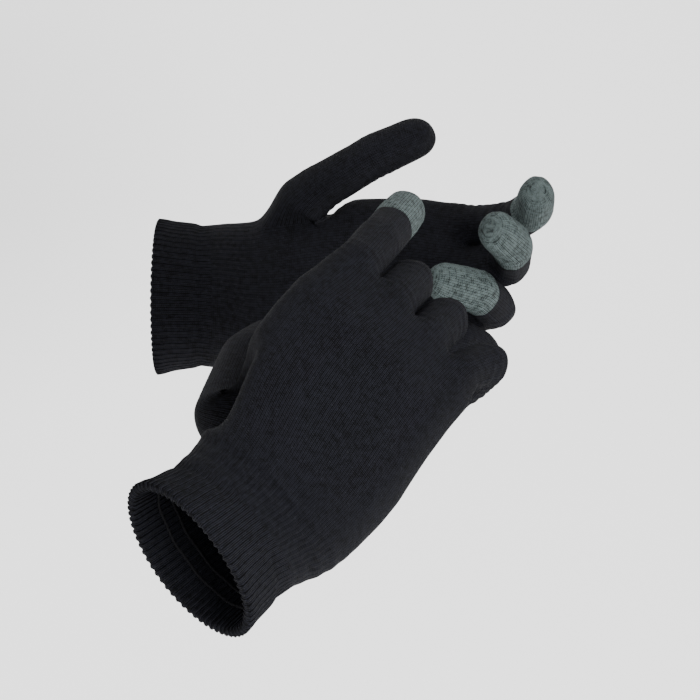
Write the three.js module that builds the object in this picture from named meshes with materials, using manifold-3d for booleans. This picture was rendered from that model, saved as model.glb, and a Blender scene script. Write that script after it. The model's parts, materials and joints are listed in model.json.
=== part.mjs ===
// A pair of knitted touchscreen gloves, shaped by the hands that wear them.
// Millimetres. The frame belongs to the right glove's cuff: the origin is the centre of its mouth, +Y runs up
// the forearm towards the fingers, +Z comes out of the back of the hand and the thumb lies towards -X.
// The left glove is the right one mirrored, turned palm up and set under the right glove's palm.
import * as THREE from "three";
import { mergeVertices } from "three/addons/utils/BufferGeometryUtils.js";
import Module from "manifold-3d";

const wasm = await Module();
wasm.setup();
const DEG = Math.PI / 180;

// ---- driving dimensions -------------------------------------------------------------------------------
const wall = 2.0; // thickness of the stretched knit
const seamGap = 0.4; // clearance between two knitted pieces that meet
const fingerSides = 12;
const palmSides = 24;
const palmPower = 2.5; // superellipse power of the palm: 2 is an ellipse, more is boxier

const cuff = {
  length: 42,
  mouth: { halfWidth: 38.5, halfThick: 30 },
  neck: { halfWidth: 36, halfThick: 26 },
  neckAt: 20, // distance of the narrowest ribbing from the mouth
  wrist: { halfWidth: 39, halfThick: 24 },
  hemLength: 7,
  hemExtra: 0.8, // how much thicker the doubled hem is
  elasticThread: 0.55, // radius of a covered elastic thread
  elasticAt: [13, 20],
};

const palm = {
  length: 91, // wrist to the knuckle line
  rings: [
    { at: 0, x: 2, halfWidth: 39.5, halfThick: 24 },
    { at: 20, x: 2.5, halfWidth: 44, halfThick: 23 },
    { at: 45, x: 0, halfWidth: 49.5, halfThick: 20 },
    { at: 70, x: -1, halfWidth: 48.5, halfThick: 17.5 },
    { at: 114, x: 0, halfWidth: 47, halfThick: 15 },
  ],
  knuckleSlant: 9, // degrees that the knuckle line falls towards the little finger
};

const hingeShare = 0.5; // height of a finger's fold above its centreline, as a share of its half thickness

// Fingers stand side by side, so a finger's place follows from the widths of its neighbours.
const fingerGap = 0.9; // between neighbours where they leave the band
const middleX = -11.9;
const fingers = {
  index: { halfWidth: 10.9, halfThick: 10.1, lengths: [27, 28, 29], greyTip: true },
  middle: { halfWidth: 11.2, halfThick: 10.3, lengths: [31, 31, 30], greyTip: true },
  ring: { halfWidth: 11.0, halfThick: 10.1, lengths: [28, 30, 30], greyTip: true },
  little: { halfWidth: 9.9, halfThick: 9.3, lengths: [24, 23, 26], greyTip: false },
};
fingers.middle.x = middleX;
fingers.index.x = middleX - fingers.middle.halfWidth - fingerGap - fingers.index.halfWidth;
fingers.ring.x = middleX + fingers.middle.halfWidth + fingerGap + fingers.ring.halfWidth;
fingers.little.x = fingers.ring.x + fingers.ring.halfWidth + fingerGap + fingers.little.halfWidth;

// Knuckle line to the finger roots. It reaches a little past the outer side of the index finger.
const band = { length: 27, halfWidth: fingers.index.halfWidth - fingers.index.x + 1.2, halfThick: 14.2 };

const thumb = {
  root: { x: -27, y: 4, z: -6 },
  stub: 47, // knitted in one with the palm
  clearAt: 47, // distance from the root at which the thumb is clear of the palm, so the stub ends there
  halfWidth: 12.2,
  halfThick: 11.4,
  lengths: [34, 35],
};

// ---- how each glove is held, in degrees ----------------------------------------------------------------
// fold: how far a joint is bent at rest. limits: how far it bends from straight, in either direction.
const limits = {
  wrist: [-25, 12],
  knuckles: [0, 25],
  root: [-5, 40],
  knuckle: [0, 80],
  tip: [0, 44],
  thumbRoot: [-5, 18],
  thumbTip: [0, 25],
};
const pose = {
  right: {
    wrist: -19,
    wristTurn: 16,
    knuckles: 10,
    fingers: {
      index: { fan: 2, root: 32, knuckle: 6, tip: 3 },
      middle: { fan: 0, root: 36, knuckle: 77, tip: 42 },
      ring: { fan: -1, root: 34, knuckle: 77, tip: 42 },
      little: { fan: -18, root: 26, knuckle: 74, tip: 40 },
    },
    thumb: { azimuth: 24, pitch: 34, roll: -60, root: 12, tip: 20 },
  },
  left: {
    wrist: 0,
    wristTurn: 2,
    knuckles: 15,
    fingers: {
      index: { fan: 2, root: 14, knuckle: 38, tip: 20 },
      middle: { fan: 2, root: 20, knuckle: 52, tip: 28 },
      ring: { fan: 1, root: 24, knuckle: 72, tip: 39 },
      little: { fan: -1, root: 32, knuckle: 74, tip: 40 },
    },
    thumb: { azimuth: 38, pitch: 15, roll: -75, root: 14, tip: 8 },
  },
};
// Where the left cuff's mouth lies, and how it is turned.
const leftPlace = { x: -113.1, y: 163.4, z: -162.8, turnX: 28.8, turnY: -174.9, turnZ: -42.1 };

// ---- materials -----------------------------------------------------------------------------------------
const knit = new THREE.MeshStandardMaterial({ color: 0x191a1f, roughness: 0.95, metalness: 0 });
const conductiveKnit = new THREE.MeshStandardMaterial({ color: 0x74827f, roughness: 0.85, metalness: 0 });
const elastic = new THREE.MeshStandardMaterial({ color: 0x101013, roughness: 0.6, metalness: 0 });

// ---- solids --------------------------------------------------------------------------------------------
function toSolid(geometry) {
  const bare = geometry.clone();
  bare.deleteAttribute("normal");
  bare.deleteAttribute("uv");
  const merged = mergeVertices(bare, 1e-3);
  return new wasm.Manifold(
    new wasm.Mesh({
      numProp: 3,
      vertProperties: merged.attributes.position.array,
      triVerts: new Uint32Array(merged.index.array),
    }),
  );
}

function toMesh(name, solid, material) {
  const made = solid.getMesh();
  const geometry = new THREE.BufferGeometry();
  geometry.setAttribute("position", new THREE.BufferAttribute(made.vertProperties, 3));
  geometry.setIndex(new THREE.BufferAttribute(made.triVerts, 1));
  geometry.computeVertexNormals();
  const mesh = new THREE.Mesh(geometry, material);
  mesh.name = name;
  return mesh;
}

// A closed solid along +Y through superellipse rings { at, x, z, halfWidth, halfThick }.
function loft(rings, sides, power = 2, side = 1) {
  const geometry = new THREE.CylinderGeometry(1, 1, 1, sides, rings.length - 1);
  const spots = geometry.attributes.position;
  const spread = (v) => Math.sign(v) * Math.abs(v) ** (2 / power);
  for (let i = 0; i < spots.count; i++) {
    const ring = rings[Math.round((spots.getY(i) + 0.5) * (rings.length - 1))];
    spots.setXYZ(
      i,
      side * (ring.x ?? 0) + ring.halfWidth * spread(spots.getX(i)),
      ring.at,
      (ring.z ?? 0) + ring.halfThick * spread(spots.getZ(i)),
    );
  }
  return geometry;
}

// The same rings, one wall thickness further in.
function inside(rings) {
  return rings.map((ring) => ({
    ...ring,
    halfWidth: ring.halfWidth - wall,
    halfThick: ring.halfThick - wall,
  }));
}

// Takes away what lies past a plane that holds the fold line at (y, z) and leans by `lean` degrees.
// facing +1 trims a far end, -1 a near end.
const cutterSize = 260;
function trim(solid, { y, z, lean, facing, clearance }) {
  const cutter = new THREE.BoxGeometry(cutterSize, cutterSize, cutterSize);
  cutter.translate(0, (facing * cutterSize) / 2, 0);
  cutter.rotateX(-facing * lean * DEG);
  cutter.translate(0, y - facing * clearance, z);
  return solid.subtract(toSolid(cutter));
}

// Both halves of a fold's gap: the palm side is cut back for the tightest bend, the back for the straightest.
function trimFold(solid, { y, z, range, facing, clearance = seamGap / 2 }) {
  return range.reduce(
    (kept, bend) => trim(kept, { y, z, lean: bend / 2, facing, clearance }),
    solid,
  );
}

// A group that turns about a fold: bend > 0 curls towards the palm. It keeps how far it may turn from rest.
function foldGroup(name, at, bend, range) {
  const group = new THREE.Group();
  group.name = name;
  group.userData.range = range.map((limit) => limit - bend);
  group.position.set(at.x ?? 0, at.y ?? 0, at.z ?? 0);
  group.rotation.set(-bend * DEG, 0, 0);
  return group;
}

// ---- fingers -------------------------------------------------------------------------------------------
const domeSteps = [0, 0.45, 0.78, 1];
const tipTaper = 0.9; // size of a fingertip before its dome, as a share of the finger's
const flatEnd = 0.3; // the gathered end of a dome stays this share of its width

function tubeRings({ halfWidth, halfThick }, length, scaleFrom, scaleTo, lift) {
  const ring = (at, scale) => ({
    at,
    z: -lift,
    halfWidth: halfWidth * scale,
    halfThick: halfThick * scale,
  });
  return [ring(-12, scaleFrom), ring(length + 12, scaleTo)];
}

function tipRings({ halfWidth, halfThick }, length, lift) {
  const domeLength = halfThick * 1.15;
  const straight = length - domeLength;
  const ring = (at, scale) => ({
    at,
    z: -lift,
    halfWidth: halfWidth * scale,
    halfThick: halfThick * scale,
  });
  const dome = domeSteps.map((step) => {
    const shrink = Math.max(flatEnd, Math.sqrt(1 - step * step));
    return ring(straight + domeLength * step, tipTaper * shrink);
  });
  return [ring(-12, 0.96), ...dome];
}

// An open tube between two folds. `turn` swings it sideways after its first fold.
function openTube(size, length, scales, lift, startRange, endRange, turn = 0) {
  const rings = tubeRings(size, length, scales[0], scales[1], lift);
  const outer = trimFold(toSolid(loft(rings, fingerSides)), { y: length, z: 0, range: endRange, facing: 1 });
  const bore = toSolid(loft(inside(rings), fingerSides));
  const tube = outer.subtract(bore).rotate([0, 0, turn]);
  return trimFold(tube, { y: 0, z: 0, range: startRange, facing: -1 });
}

// A tube whose far end is closed by a dome.
function closedTip(size, length, lift, startRange) {
  const outer = toSolid(loft(tipRings(size, length, lift), fingerSides));
  const bore = toSolid(loft(inside(tipRings(size, length - wall, lift)), fingerSides));
  return trimFold(outer.subtract(bore), { y: 0, z: 0, range: startRange, facing: -1 });
}

function addFinger(bandGroup, hand, side, name, held) {
  const size = fingers[name];
  const lift = size.halfThick * hingeShare;
  const [baseLength, middleLength, tipLength] = size.lengths;
  const fan = held.fan * side;
  const label = `${hand}_${name}`;

  const root = foldGroup(
    `${label}_root`,
    { x: size.x * side, y: band.length, z: fingerFoldHeight(size) },
    held.root,
    limits.root,
  );
  const baseTube = openTube(size, baseLength, [1.0, 0.98], lift, limits.root, limits.knuckle, fan);
  root.add(toMesh(`${label}_base`, baseTube, knit));
  const fanned = new THREE.Group();
  fanned.rotation.z = fan * DEG;
  root.add(fanned);

  const knuckle = foldGroup(`${label}_knuckle`, { y: baseLength }, held.knuckle, limits.knuckle);
  const middleTube = openTube(size, middleLength, [0.98, 0.96], lift, limits.knuckle, limits.tip);
  knuckle.add(toMesh(`${label}_middle`, middleTube, knit));
  fanned.add(knuckle);

  const tip = foldGroup(`${label}_tip_fold`, { y: middleLength }, held.tip, limits.tip);
  const tipKnit = size.greyTip ? conductiveKnit : knit;
  tip.add(toMesh(`${label}_tip`, closedTip(size, tipLength, lift, limits.tip), tipKnit));
  knuckle.add(tip);
  bandGroup.add(root);
}

// ---- knuckle band --------------------------------------------------------------------------------------
const bandLift = band.halfThick * hingeShare;

// A finger's centreline leaves the band at mid thickness, so its fold lies this far above the band's own fold.
function fingerFoldHeight(size) {
  return size.halfThick * hingeShare - bandLift;
}

function knuckleBand(side) {
  const rings = [-20, band.length + 20].map((at) => ({ ...band, at, z: -bandLift }));
  const ends = { y: band.length, z: 0, range: limits.root, facing: 1 };
  const outer = trimFold(toSolid(loft(rings, palmSides, palmPower)), ends);
  const hollow = trimFold(toSolid(loft(inside(rings), palmSides, palmPower)), {
    ...ends,
    clearance: seamGap / 2 + wall,
  });
  let shell = outer.subtract(hollow);
  for (const size of Object.values(fingers)) {
    const bore = toSolid(loft(inside(tubeRings(size, 20, 1, 1, 0)), fingerSides));
    shell = shell.subtract(bore.translate([size.x * side, band.length, -bandLift]));
  }
  return trimFold(shell, { y: 0, z: 0, range: limits.knuckles, facing: -1 });
}

// ---- palm and thumb ------------------------------------------------------------------------------------
const thumbLift = thumb.halfThick * hingeShare;

function thumbFrame(side, held) {
  const frame = new THREE.Group();
  frame.position.set(thumb.root.x * side, thumb.root.y, thumb.root.z);
  frame.rotation.set(-held.pitch * DEG, held.roll * side * DEG, held.azimuth * side * DEG, "ZXY");
  frame.translateY(thumb.clearAt - thumb.stub);
  frame.updateMatrix();
  return frame;
}

function palmShell(side, held) {
  const stubRings = [-14, thumb.stub + 12].map((at, end) => ({
    at,
    z: -thumbLift,
    halfWidth: thumb.halfWidth * (end ? 1 : 1.35),
    halfThick: thumb.halfThick * (end ? 1 : 1.15),
  }));
  const place = (geometry) => geometry.applyMatrix4(thumbFrame(side, held.thumb).matrix);
  const stubEnd = { y: thumb.stub, z: 0, range: limits.thumbRoot, facing: 1 };
  const placed = (rings) => {
    const stub = trimFold(toSolid(loft(rings, fingerSides)), stubEnd);
    return toSolid(place(toMesh("stub", stub, knit).geometry));
  };
  const stubBore = toSolid(place(loft(inside(stubRings), fingerSides)));

  const foldLine = { slant: -palm.knuckleSlant * side, y: palm.length };
  const outer = toSolid(loft(palm.rings, palmSides, palmPower, side)).add(placed(stubRings));
  const runOut = inside(palm.rings);
  runOut[0] = { ...runOut[0], at: -5 };
  runOut[runOut.length - 1] = { ...runOut[runOut.length - 1], at: 120 };
  const shell = outer.subtract(toSolid(loft(runOut, palmSides, palmPower, side))).subtract(stubBore);

  // The knuckle line slants, so the shell is turned back square to it, trimmed, and turned again.
  const squared = shell.translate([0, -foldLine.y, 0]).rotate([0, 0, -foldLine.slant]);
  const trimmed = trimFold(squared, { y: 0, z: knuckleHeight, range: limits.knuckles, facing: 1 });
  return trimmed.rotate([0, 0, foldLine.slant]).translate([0, foldLine.y, 0]);
}

const knuckleHeight = bandLift; // the band leaves the palm at mid thickness

function addThumb(handGroup, hand, side, held) {
  const frame = thumbFrame(side, held);
  const [baseLength, tipLength] = thumb.lengths;
  const root = foldGroup(`${hand}_thumb_root`, { y: thumb.stub }, held.root, limits.thumbRoot);
  const base = openTube(thumb, baseLength, [1.0, 0.98], thumbLift, limits.thumbRoot, limits.thumbTip);
  root.add(toMesh(`${hand}_thumb_base`, base, knit));
  const tip = foldGroup(`${hand}_thumb_tip_fold`, { y: baseLength }, held.tip, limits.thumbTip);
  tip.add(toMesh(`${hand}_thumb_tip`, closedTip(thumb, tipLength, thumbLift, limits.thumbTip), knit));
  root.add(tip);
  frame.add(root);
  handGroup.add(frame);
}

// ---- cuff ----------------------------------------------------------------------------------------------
function cuffSizeAt(at) {
  const { mouth, neck, neckAt, wrist, length } = cuff;
  const [from, to, share] =
    at < neckAt ? [mouth, neck, at / neckAt] : [neck, wrist, (at - neckAt) / (length - neckAt)];
  const ease = share * share * (3 - 2 * share);
  return {
    halfWidth: THREE.MathUtils.lerp(from.halfWidth, to.halfWidth, ease),
    halfThick: THREE.MathUtils.lerp(from.halfThick, to.halfThick, ease),
  };
}

function cuffRings(from, to, steps) {
  return Array.from({ length: steps + 1 }, (_, i) => {
    const at = from + ((to - from) * i) / steps;
    return { at, ...cuffSizeAt(THREE.MathUtils.clamp(at, 0, cuff.length)) };
  });
}

function cuffTube() {
  const start = cuff.hemLength + seamGap;
  const outer = toSolid(loft(cuffRings(start, cuff.length + 14, 4), palmSides));
  const bore = toSolid(loft(inside(cuffRings(start - 6, cuff.length + 20, 5)), palmSides));
  return trimFold(outer.subtract(bore), { y: cuff.length, z: 0, range: limits.wrist, facing: 1 });
}

function hemRing() {
  const thicker = cuffRings(0, cuff.hemLength, 1).map((ring) => ({
    ...ring,
    halfWidth: ring.halfWidth + cuff.hemExtra,
    halfThick: ring.halfThick + cuff.hemExtra,
  }));
  const bore = inside(cuffRings(-4, cuff.hemLength + 4, 2));
  return toSolid(loft(thicker, palmSides)).subtract(toSolid(loft(bore, palmSides)));
}

function elasticRing(at) {
  const size = cuffSizeAt(at);
  const reach = wall + seamGap + cuff.elasticThread;
  const ring = new THREE.TorusGeometry(1, 1, 5, 24);
  const spots = ring.attributes.position;
  for (let i = 0; i < spots.count; i++) {
    const angle = 2 * Math.PI * ring.attributes.uv.getX(i);
    const around = 2 * Math.PI * ring.attributes.uv.getY(i);
    const out = cuff.elasticThread * Math.cos(around);
    spots.setXYZ(
      i,
      (size.halfWidth - reach + out) * Math.cos(angle),
      at + cuff.elasticThread * Math.sin(around),
      -(size.halfThick - reach + out) * Math.sin(angle),
    );
  }
  return toSolid(ring);
}

// ---- one glove -----------------------------------------------------------------------------------------
function glove(hand) {
  const side = hand === "right" ? 1 : -1;
  const held = pose[hand];
  const group = new THREE.Group();
  group.add(toMesh(`${hand}_cuff_hem`, hemRing(), knit));
  group.add(toMesh(`${hand}_cuff`, cuffTube(), knit));
  cuff.elasticAt.forEach((at, i) => {
    group.add(toMesh(`${hand}_cuff_elastic_${i + 1}`, elasticRing(at), elastic));
  });

  const wrist = foldGroup(`${hand}_wrist`, { y: cuff.length }, held.wrist, limits.wrist);
  const turn = held.wristTurn * side;
  const shell = palmShell(side, held).rotate([0, 0, turn]);
  const square = trimFold(shell, { y: 0, z: 0, range: limits.wrist, facing: -1 });
  wrist.add(toMesh(`${hand}_palm`, square, knit));
  const turned = new THREE.Group();
  turned.rotation.z = turn * DEG;
  wrist.add(turned);
  group.add(wrist);
  addThumb(turned, hand, side, held.thumb);

  const knuckleLine = new THREE.Group();
  knuckleLine.position.set(0, palm.length, knuckleHeight);
  knuckleLine.rotation.z = -palm.knuckleSlant * side * DEG;
  const knuckles = foldGroup(`${hand}_knuckles`, {}, held.knuckles, limits.knuckles);
  knuckles.add(toMesh(`${hand}_knuckle_band`, knuckleBand(side), knit));
  for (const name of Object.keys(fingers)) addFinger(knuckles, hand, side, name, held.fingers[name]);
  knuckleLine.add(knuckles);
  turned.add(knuckleLine);
  return group;
}

const gloves = new THREE.Group();
gloves.add(glove("right"));
const left = glove("left");
left.name = "left_glove";
left.position.set(leftPlace.x, leftPlace.y, leftPlace.z);
left.rotation.set(leftPlace.turnX * DEG, leftPlace.turnY * DEG, leftPlace.turnZ * DEG, "ZXY");
gloves.add(left);

export default gloves;
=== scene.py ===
# %% [markdown]
# A pair of knitted touchscreen gloves, posed as if a hand were in each one. The frame that
# arrives here is plain: rigid tubes, one for every stretch of glove between two folds. This
# lesson grows a continuous knitted skin over them with a subdivision cage, and cuts it where
# it never bends, so that each piece crosses only one fold.

import json
import math
from collections import namedtuple

import bpy
import numpy as np
from mathutils import Matrix, Vector, noise


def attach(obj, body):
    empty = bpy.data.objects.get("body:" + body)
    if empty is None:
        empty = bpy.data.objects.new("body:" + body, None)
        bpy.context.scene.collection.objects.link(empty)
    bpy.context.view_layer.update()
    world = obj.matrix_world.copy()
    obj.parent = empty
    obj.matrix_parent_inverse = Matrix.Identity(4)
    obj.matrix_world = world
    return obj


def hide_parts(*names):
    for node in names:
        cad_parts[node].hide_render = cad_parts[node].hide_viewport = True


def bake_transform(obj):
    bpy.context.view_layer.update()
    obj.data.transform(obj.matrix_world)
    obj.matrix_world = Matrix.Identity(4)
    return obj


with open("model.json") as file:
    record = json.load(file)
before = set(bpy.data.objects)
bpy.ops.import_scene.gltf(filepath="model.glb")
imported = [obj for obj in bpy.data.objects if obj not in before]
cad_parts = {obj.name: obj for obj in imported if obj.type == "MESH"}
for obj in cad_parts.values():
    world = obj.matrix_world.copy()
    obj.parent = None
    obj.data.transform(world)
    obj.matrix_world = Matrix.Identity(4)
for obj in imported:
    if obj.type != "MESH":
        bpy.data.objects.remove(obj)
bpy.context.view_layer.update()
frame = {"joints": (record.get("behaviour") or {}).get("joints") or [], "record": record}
joints = {joint["name"]: joint for joint in frame["joints"]}

# %% [markdown]
# Sizes in metres, the same as the rigid frame's: the skin has to lie where the tubes lie,
# because the tubes are what collides. Sections are the half width and half thickness of an
# oval at a few distances, and everything between them is interpolated.

# %% Sizes of the glove
MM = 0.001
CUFF_LENGTH = 42 * MM
HEEL_START = 30 * MM  # where the ribbing ends and the plain knit starts
PALM_LENGTH = 91 * MM
BAND_LENGTH = 27 * MM
BAND_CENTRE = -7.1 * MM  # the knuckle fold lies this far above the middle of the glove
KNUCKLE_SLANT = math.radians(9)
WALL = 1.5 * MM
CUFF_SECTIONS = [  # distance from the mouth, half width, half thickness
    (0, 38.5, 30), (10, 37.2, 28), (20, 36, 26), (31, 37.5, 25), (42, 39, 24),
]
PALM_SECTIONS = [  # distance from the wrist, sideways shift, half width, half thickness
    (0, 2, 39.5, 24), (20, 2.5, 44, 23), (45, 0, 49.5, 20), (70, -1, 48.5, 17.5), (114, 0, 47, 15),
]
print("a glove is", round((CUFF_LENGTH + PALM_LENGTH + BAND_LENGTH) / MM), "mm up to its fingers")

# %% Sizes of the digits
FINGERS = {  # sideways place, half width, half thickness
    "index": (-34.9 * MM, 10.9 * MM, 10.1 * MM),
    "middle": (-11.9 * MM, 11.2 * MM, 10.3 * MM),
    "ring": (11.2 * MM, 11.0 * MM, 10.1 * MM),
    "little": (32.9 * MM, 9.9 * MM, 9.3 * MM),
}
TIP_LENGTH = {"index": 29 * MM, "middle": 30 * MM, "ring": 30 * MM, "little": 26 * MM}
THUMB_WIDE, THUMB_THICK, THUMB_TIP = 12.2 * MM, 11.4 * MM, 35 * MM
THUMB_ROOT = Vector((-27, 4, -6)) * MM
print("the middle finger is", round(2 * FINGERS["middle"][1] / MM, 1), "mm wide")

# %% [markdown]
# Every fold of the frame is a hinge with a place and an axis. Two neighbouring hinges give
# the direction of the stretch between them, and the axis gives its side, so each stretch
# gets its own set of axes: X across, Y along, Z out of the back.

# %% Places and directions
def place(name):
    return Vector(joints[name]["pos_m"])


def axis(name):
    return Vector(joints[name]["axis"]).normalized()


def axes(across, along):
    """Columns X, Y, Z with Y kept exactly along and X squared up to it."""
    along = along.normalized()
    back = across.cross(along).normalized()
    return Matrix((along.cross(back), along, back)).transposed()


def axes_from(known, seen):
    """The axes in which the two known directions become the two seen ones."""
    def triad(first, second):
        first = first.normalized()
        third = first.cross(second).normalized()
        return Matrix((first, third.cross(first), third)).transposed()

    return triad(*seen) @ triad(*known).transposed()


def bend_between(a, b):
    """The curl from stretch a to stretch b in radians; positive curls towards the palm."""
    return math.atan2(-b.col[1].dot(a.col[2]), b.col[1].dot(a.col[1]))


def turn_between(a, b):
    """The sideways turn from stretch a to stretch b in radians."""
    return math.asin(max(-1, min(1, -b.col[1].dot(a.col[0]))))


print("the right wrist fold is at", [round(v / MM, 1) for v in place("right_wrist")], "mm")

# %% Axes of the cuff, the palm and the knuckle band
def hand_axes(hand, side):
    mounts = {mount["name"]: mount for mount in frame["record"]["mounts"]}
    wrist, knuckles = place(f"{hand}_wrist"), place(f"{hand}_knuckles")
    across = -axis(f"{hand}_knuckles")
    cuff = axes(-axis(f"{hand}_wrist"), -Vector(mounts[f"hem_rim_{hand}"]["axis"]))
    slanted = Vector((math.cos(KNUCKLE_SLANT), -side * math.sin(KNUCKLE_SLANT), 0))
    palm_known = [Vector((0, PALM_LENGTH, -BAND_CENTRE)), slanted]
    palm = axes_from(palm_known, [knuckles - wrist, across])
    to_middle = place(f"{hand}_middle_root") - knuckles
    to_middle -= across * to_middle.dot(across)
    rise = FINGERS["middle"][2] / 2 + BAND_CENTRE
    band = axes_from([Vector((0, BAND_LENGTH, rise)), Vector((1, 0, 0))], [to_middle, across])
    return {"cuff": (wrist, cuff), "palm": (wrist, palm), "band": (knuckles, band)}


for hand, side in (("right", 1), ("left", -1)):
    found = hand_axes(hand, side)
    bend = bend_between(found["cuff"][1], found["palm"][1])
    print("the", hand, "wrist is bent by", round(math.degrees(bend)), "degrees")

# %% Axes of the fingers and the thumb
def digit_axes(hand, digit):
    """Place and axes of a digit's stretches, each of which runs from one fold to the next."""
    folds = ["root", "tip_fold"] if digit == "thumb" else ["root", "knuckle", "tip_fold"]
    spots = [place(f"{hand}_{digit}_{fold}") for fold in folds]
    last = f"{hand}_{digit}_tip_fold"
    across = -axis(last)
    found = {}
    for name, start, end in zip(("base", "middle"), spots, spots[1:]):
        before = axes(across, end - start)
        found[f"{digit}_{name}"] = (start, before)
    # a tip fold is straight at the low end of its range
    curl = math.radians(-joints[last]["range_deg"][0])
    along = Matrix.Rotation(curl, 3, axis(last)) @ before.col[1]
    found[f"{digit}_tip"] = (spots[-1], axes(across, along))
    return found


def glove_axes(hand, side):
    """Place and axes of every stretch of one glove; side is 1 for right and -1 for left."""
    found = hand_axes(hand, side)
    for digit in (*FINGERS, "thumb"):
        found.update(digit_axes(hand, digit))
    wrist, palm = found["palm"]
    root = wrist + palm @ Vector((THUMB_ROOT.x * side, THUMB_ROOT.y, THUMB_ROOT.z))
    thumb_joint = f"{hand}_thumb_root"
    found["stub"] = (root, axes(-axis(thumb_joint), place(thumb_joint) - root))
    return found


print(len(glove_axes("right", 1)), "stretches in each glove")

# %% [markdown]
# The cage is a coarse mesh of four-sided faces, whose smoothed surface is the glove. A tube
# of twenty columns comes up the wrist and the palm. At the finger roots the columns are
# shared out to four tubes of eight, with a fork between neighbours, as on a real glove where
# the stitches of the palm are shared out to the fingers.

# %% Outlines of the rings
DORSAL_SHARES = [-0.94, -0.743, -0.5, -0.253, -0.007, 0.238, 0.47, 0.7, 0.885]
FINGER_ANGLES = [150, 90, 30, 0, -30, -90, -150, 180]


def controls_for(points):
    """Control points of a closed smooth curve that passes through the given points."""
    count = len(points)
    weights = np.zeros((count, count))
    for i in range(count):
        weights[i, i] = 4 / 6
        weights[i, (i + 1) % count] = weights[i, (i - 1) % count] = 1 / 6
    return np.linalg.solve(weights, np.array(points, float))


def body_ring(shift, wide, thick, power):
    """Twenty points around the palm or the cuff, in X and Z, from the thumb side of the back.

    A power of 2 is an ellipse, and a higher one is squarer."""
    def height(share):
        return thick * max(0.0, 1 - abs(share) ** power) ** (1 / power)

    back = [(shift + wide * share, height(share)) for share in DORSAL_SHARES]
    front = [(x, -z) for x, z in reversed(back)]
    return controls_for(back + [(shift + wide, 0)] + front + [(shift - wide, 0)])


def oval_ring(angles, wide, thick):
    turns = [math.radians(angle) for angle in angles]
    return controls_for([(wide * math.cos(t), thick * math.sin(t)) for t in turns])


def table_at(rows, distance):
    """The columns of a table of sections, interpolated at a distance."""
    rows = np.array(rows, float)
    return [np.interp(distance / MM, rows[:, 0], rows[:, c]) * MM for c in range(1, rows.shape[1])]


print("a palm ring has", len(body_ring(0, 1, 1, 2)), "points, a finger ring", len(FINGER_ANGLES))

# %% [markdown]
# Besides its points and faces, the cage keeps two things for each face: a label, which says
# what piece of the glove it will be, and its place in the knitting, where one unit is one
# stitch. The finish is drawn from that place, so the stitches follow the fingers.

# %% Cage
PALM_WALES = [8] * 20  # stitches across each column of the palm
FINGER_WALES = [8, 8, 4, 4, 8, 8, 4, 4]
COURSE = 1.05 * MM  # height of one stitch


class Cage:
    def __init__(self):
        self.points, self.faces, self.labels, self.stitches, self.names = [], [], [], [], []

    def ring(self, points):
        """Adds points and gives their numbers."""
        self.points += [Vector(p) for p in points]
        return list(range(len(self.points) - len(points), len(self.points)))

    def face(self, corners, name, stitches):
        if name not in self.names:
            self.names.append(name)
        self.faces.append(tuple(corners))
        self.labels.append(self.names.index(name))
        self.stitches.append(tuple(stitches))

    def strip(self, low, high, name, wales, low_v, high_v, skip=()):
        """Faces from ring low to ring high; wales gives the stitches in each column."""
        edges = np.concatenate([[0], np.cumsum(wales)])
        for j in range(len(low)):
            if j in skip:
                continue
            k = (j + 1) % len(low)
            left, right = edges[j], edges[j + 1]
            stitches = ((left, low_v), (right, low_v), (right, high_v), (left, high_v))
            self.face((low[j], low[k], high[k], high[j]), name, stitches)

    def cap(self, ring, name, wales, v):
        """One face that closes the end of a tube."""
        self.face(ring, name, [(edge, v) for edge in np.cumsum(wales)])


print("one stitch is", round(COURSE / MM, 2), "mm high")

# %% [markdown]
# Where two stretches meet at a fold, both end on the plane that halves the fold, as two
# mitred pipes do. A point further out on the back therefore lies further along a stretch
# that curls, and the amount is its height times the tangent of half the bend.

# %% One glove while it is made
class Glove:
    def __init__(self, hand, side):
        self.hand, self.side = hand, side
        self.parts = glove_axes(hand, side)
        self.cage = Cage()
        self.rings, self.distances = [], []  # rings up to the forks, and how far from the mouth
        self.wrist, self.cuff = self.parts["cuff"]
        self.palm = self.parts["palm"][1]
        self.knuckles, self.band = self.parts["band"]
        self.wrist_bend = bend_between(self.cuff, self.palm)
        self.wrist_turn = turn_between(self.cuff, self.palm)
        self.knuckle_bend = bend_between(self.palm, self.band)

    def cuff_point(self, x, z, t):
        """t runs from 0 at the mouth to 1 at the wrist fold."""
        far = CUFF_LENGTH + z * math.tan(self.wrist_bend / 2) + x * math.tan(self.wrist_turn / 2)
        return self.wrist + self.cuff @ Vector((x, far * t - CUFF_LENGTH, z))

    def palm_point(self, x, z, t):
        """t runs from 0 at the wrist fold to 1 at the knuckle line."""
        near = -z * math.tan(self.wrist_bend / 2) - x * math.tan(self.wrist_turn / 2)
        far = PALM_LENGTH - x * self.side * math.tan(KNUCKLE_SLANT)
        far += (z + BAND_CENTRE) * math.tan(self.knuckle_bend / 2)
        return self.wrist + self.palm @ Vector((x, near + (far - near) * t, z))

    def band_point(self, x, y, z):
        """y from the knuckle fold; z from the middle of the glove."""
        near = -(z + BAND_CENTRE) * math.tan(self.knuckle_bend / 2)
        y = near + (BAND_LENGTH - near) * (y / BAND_LENGTH)
        return self.knuckles + self.band @ Vector((x, y, z + BAND_CENTRE))

    def keep(self, spots, distance):
        self.rings.append(self.cage.ring(spots))
        self.distances.append(distance)


print("the left knuckles are bent by", round(math.degrees(Glove("left", -1).knuckle_bend)), "degrees")

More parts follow.
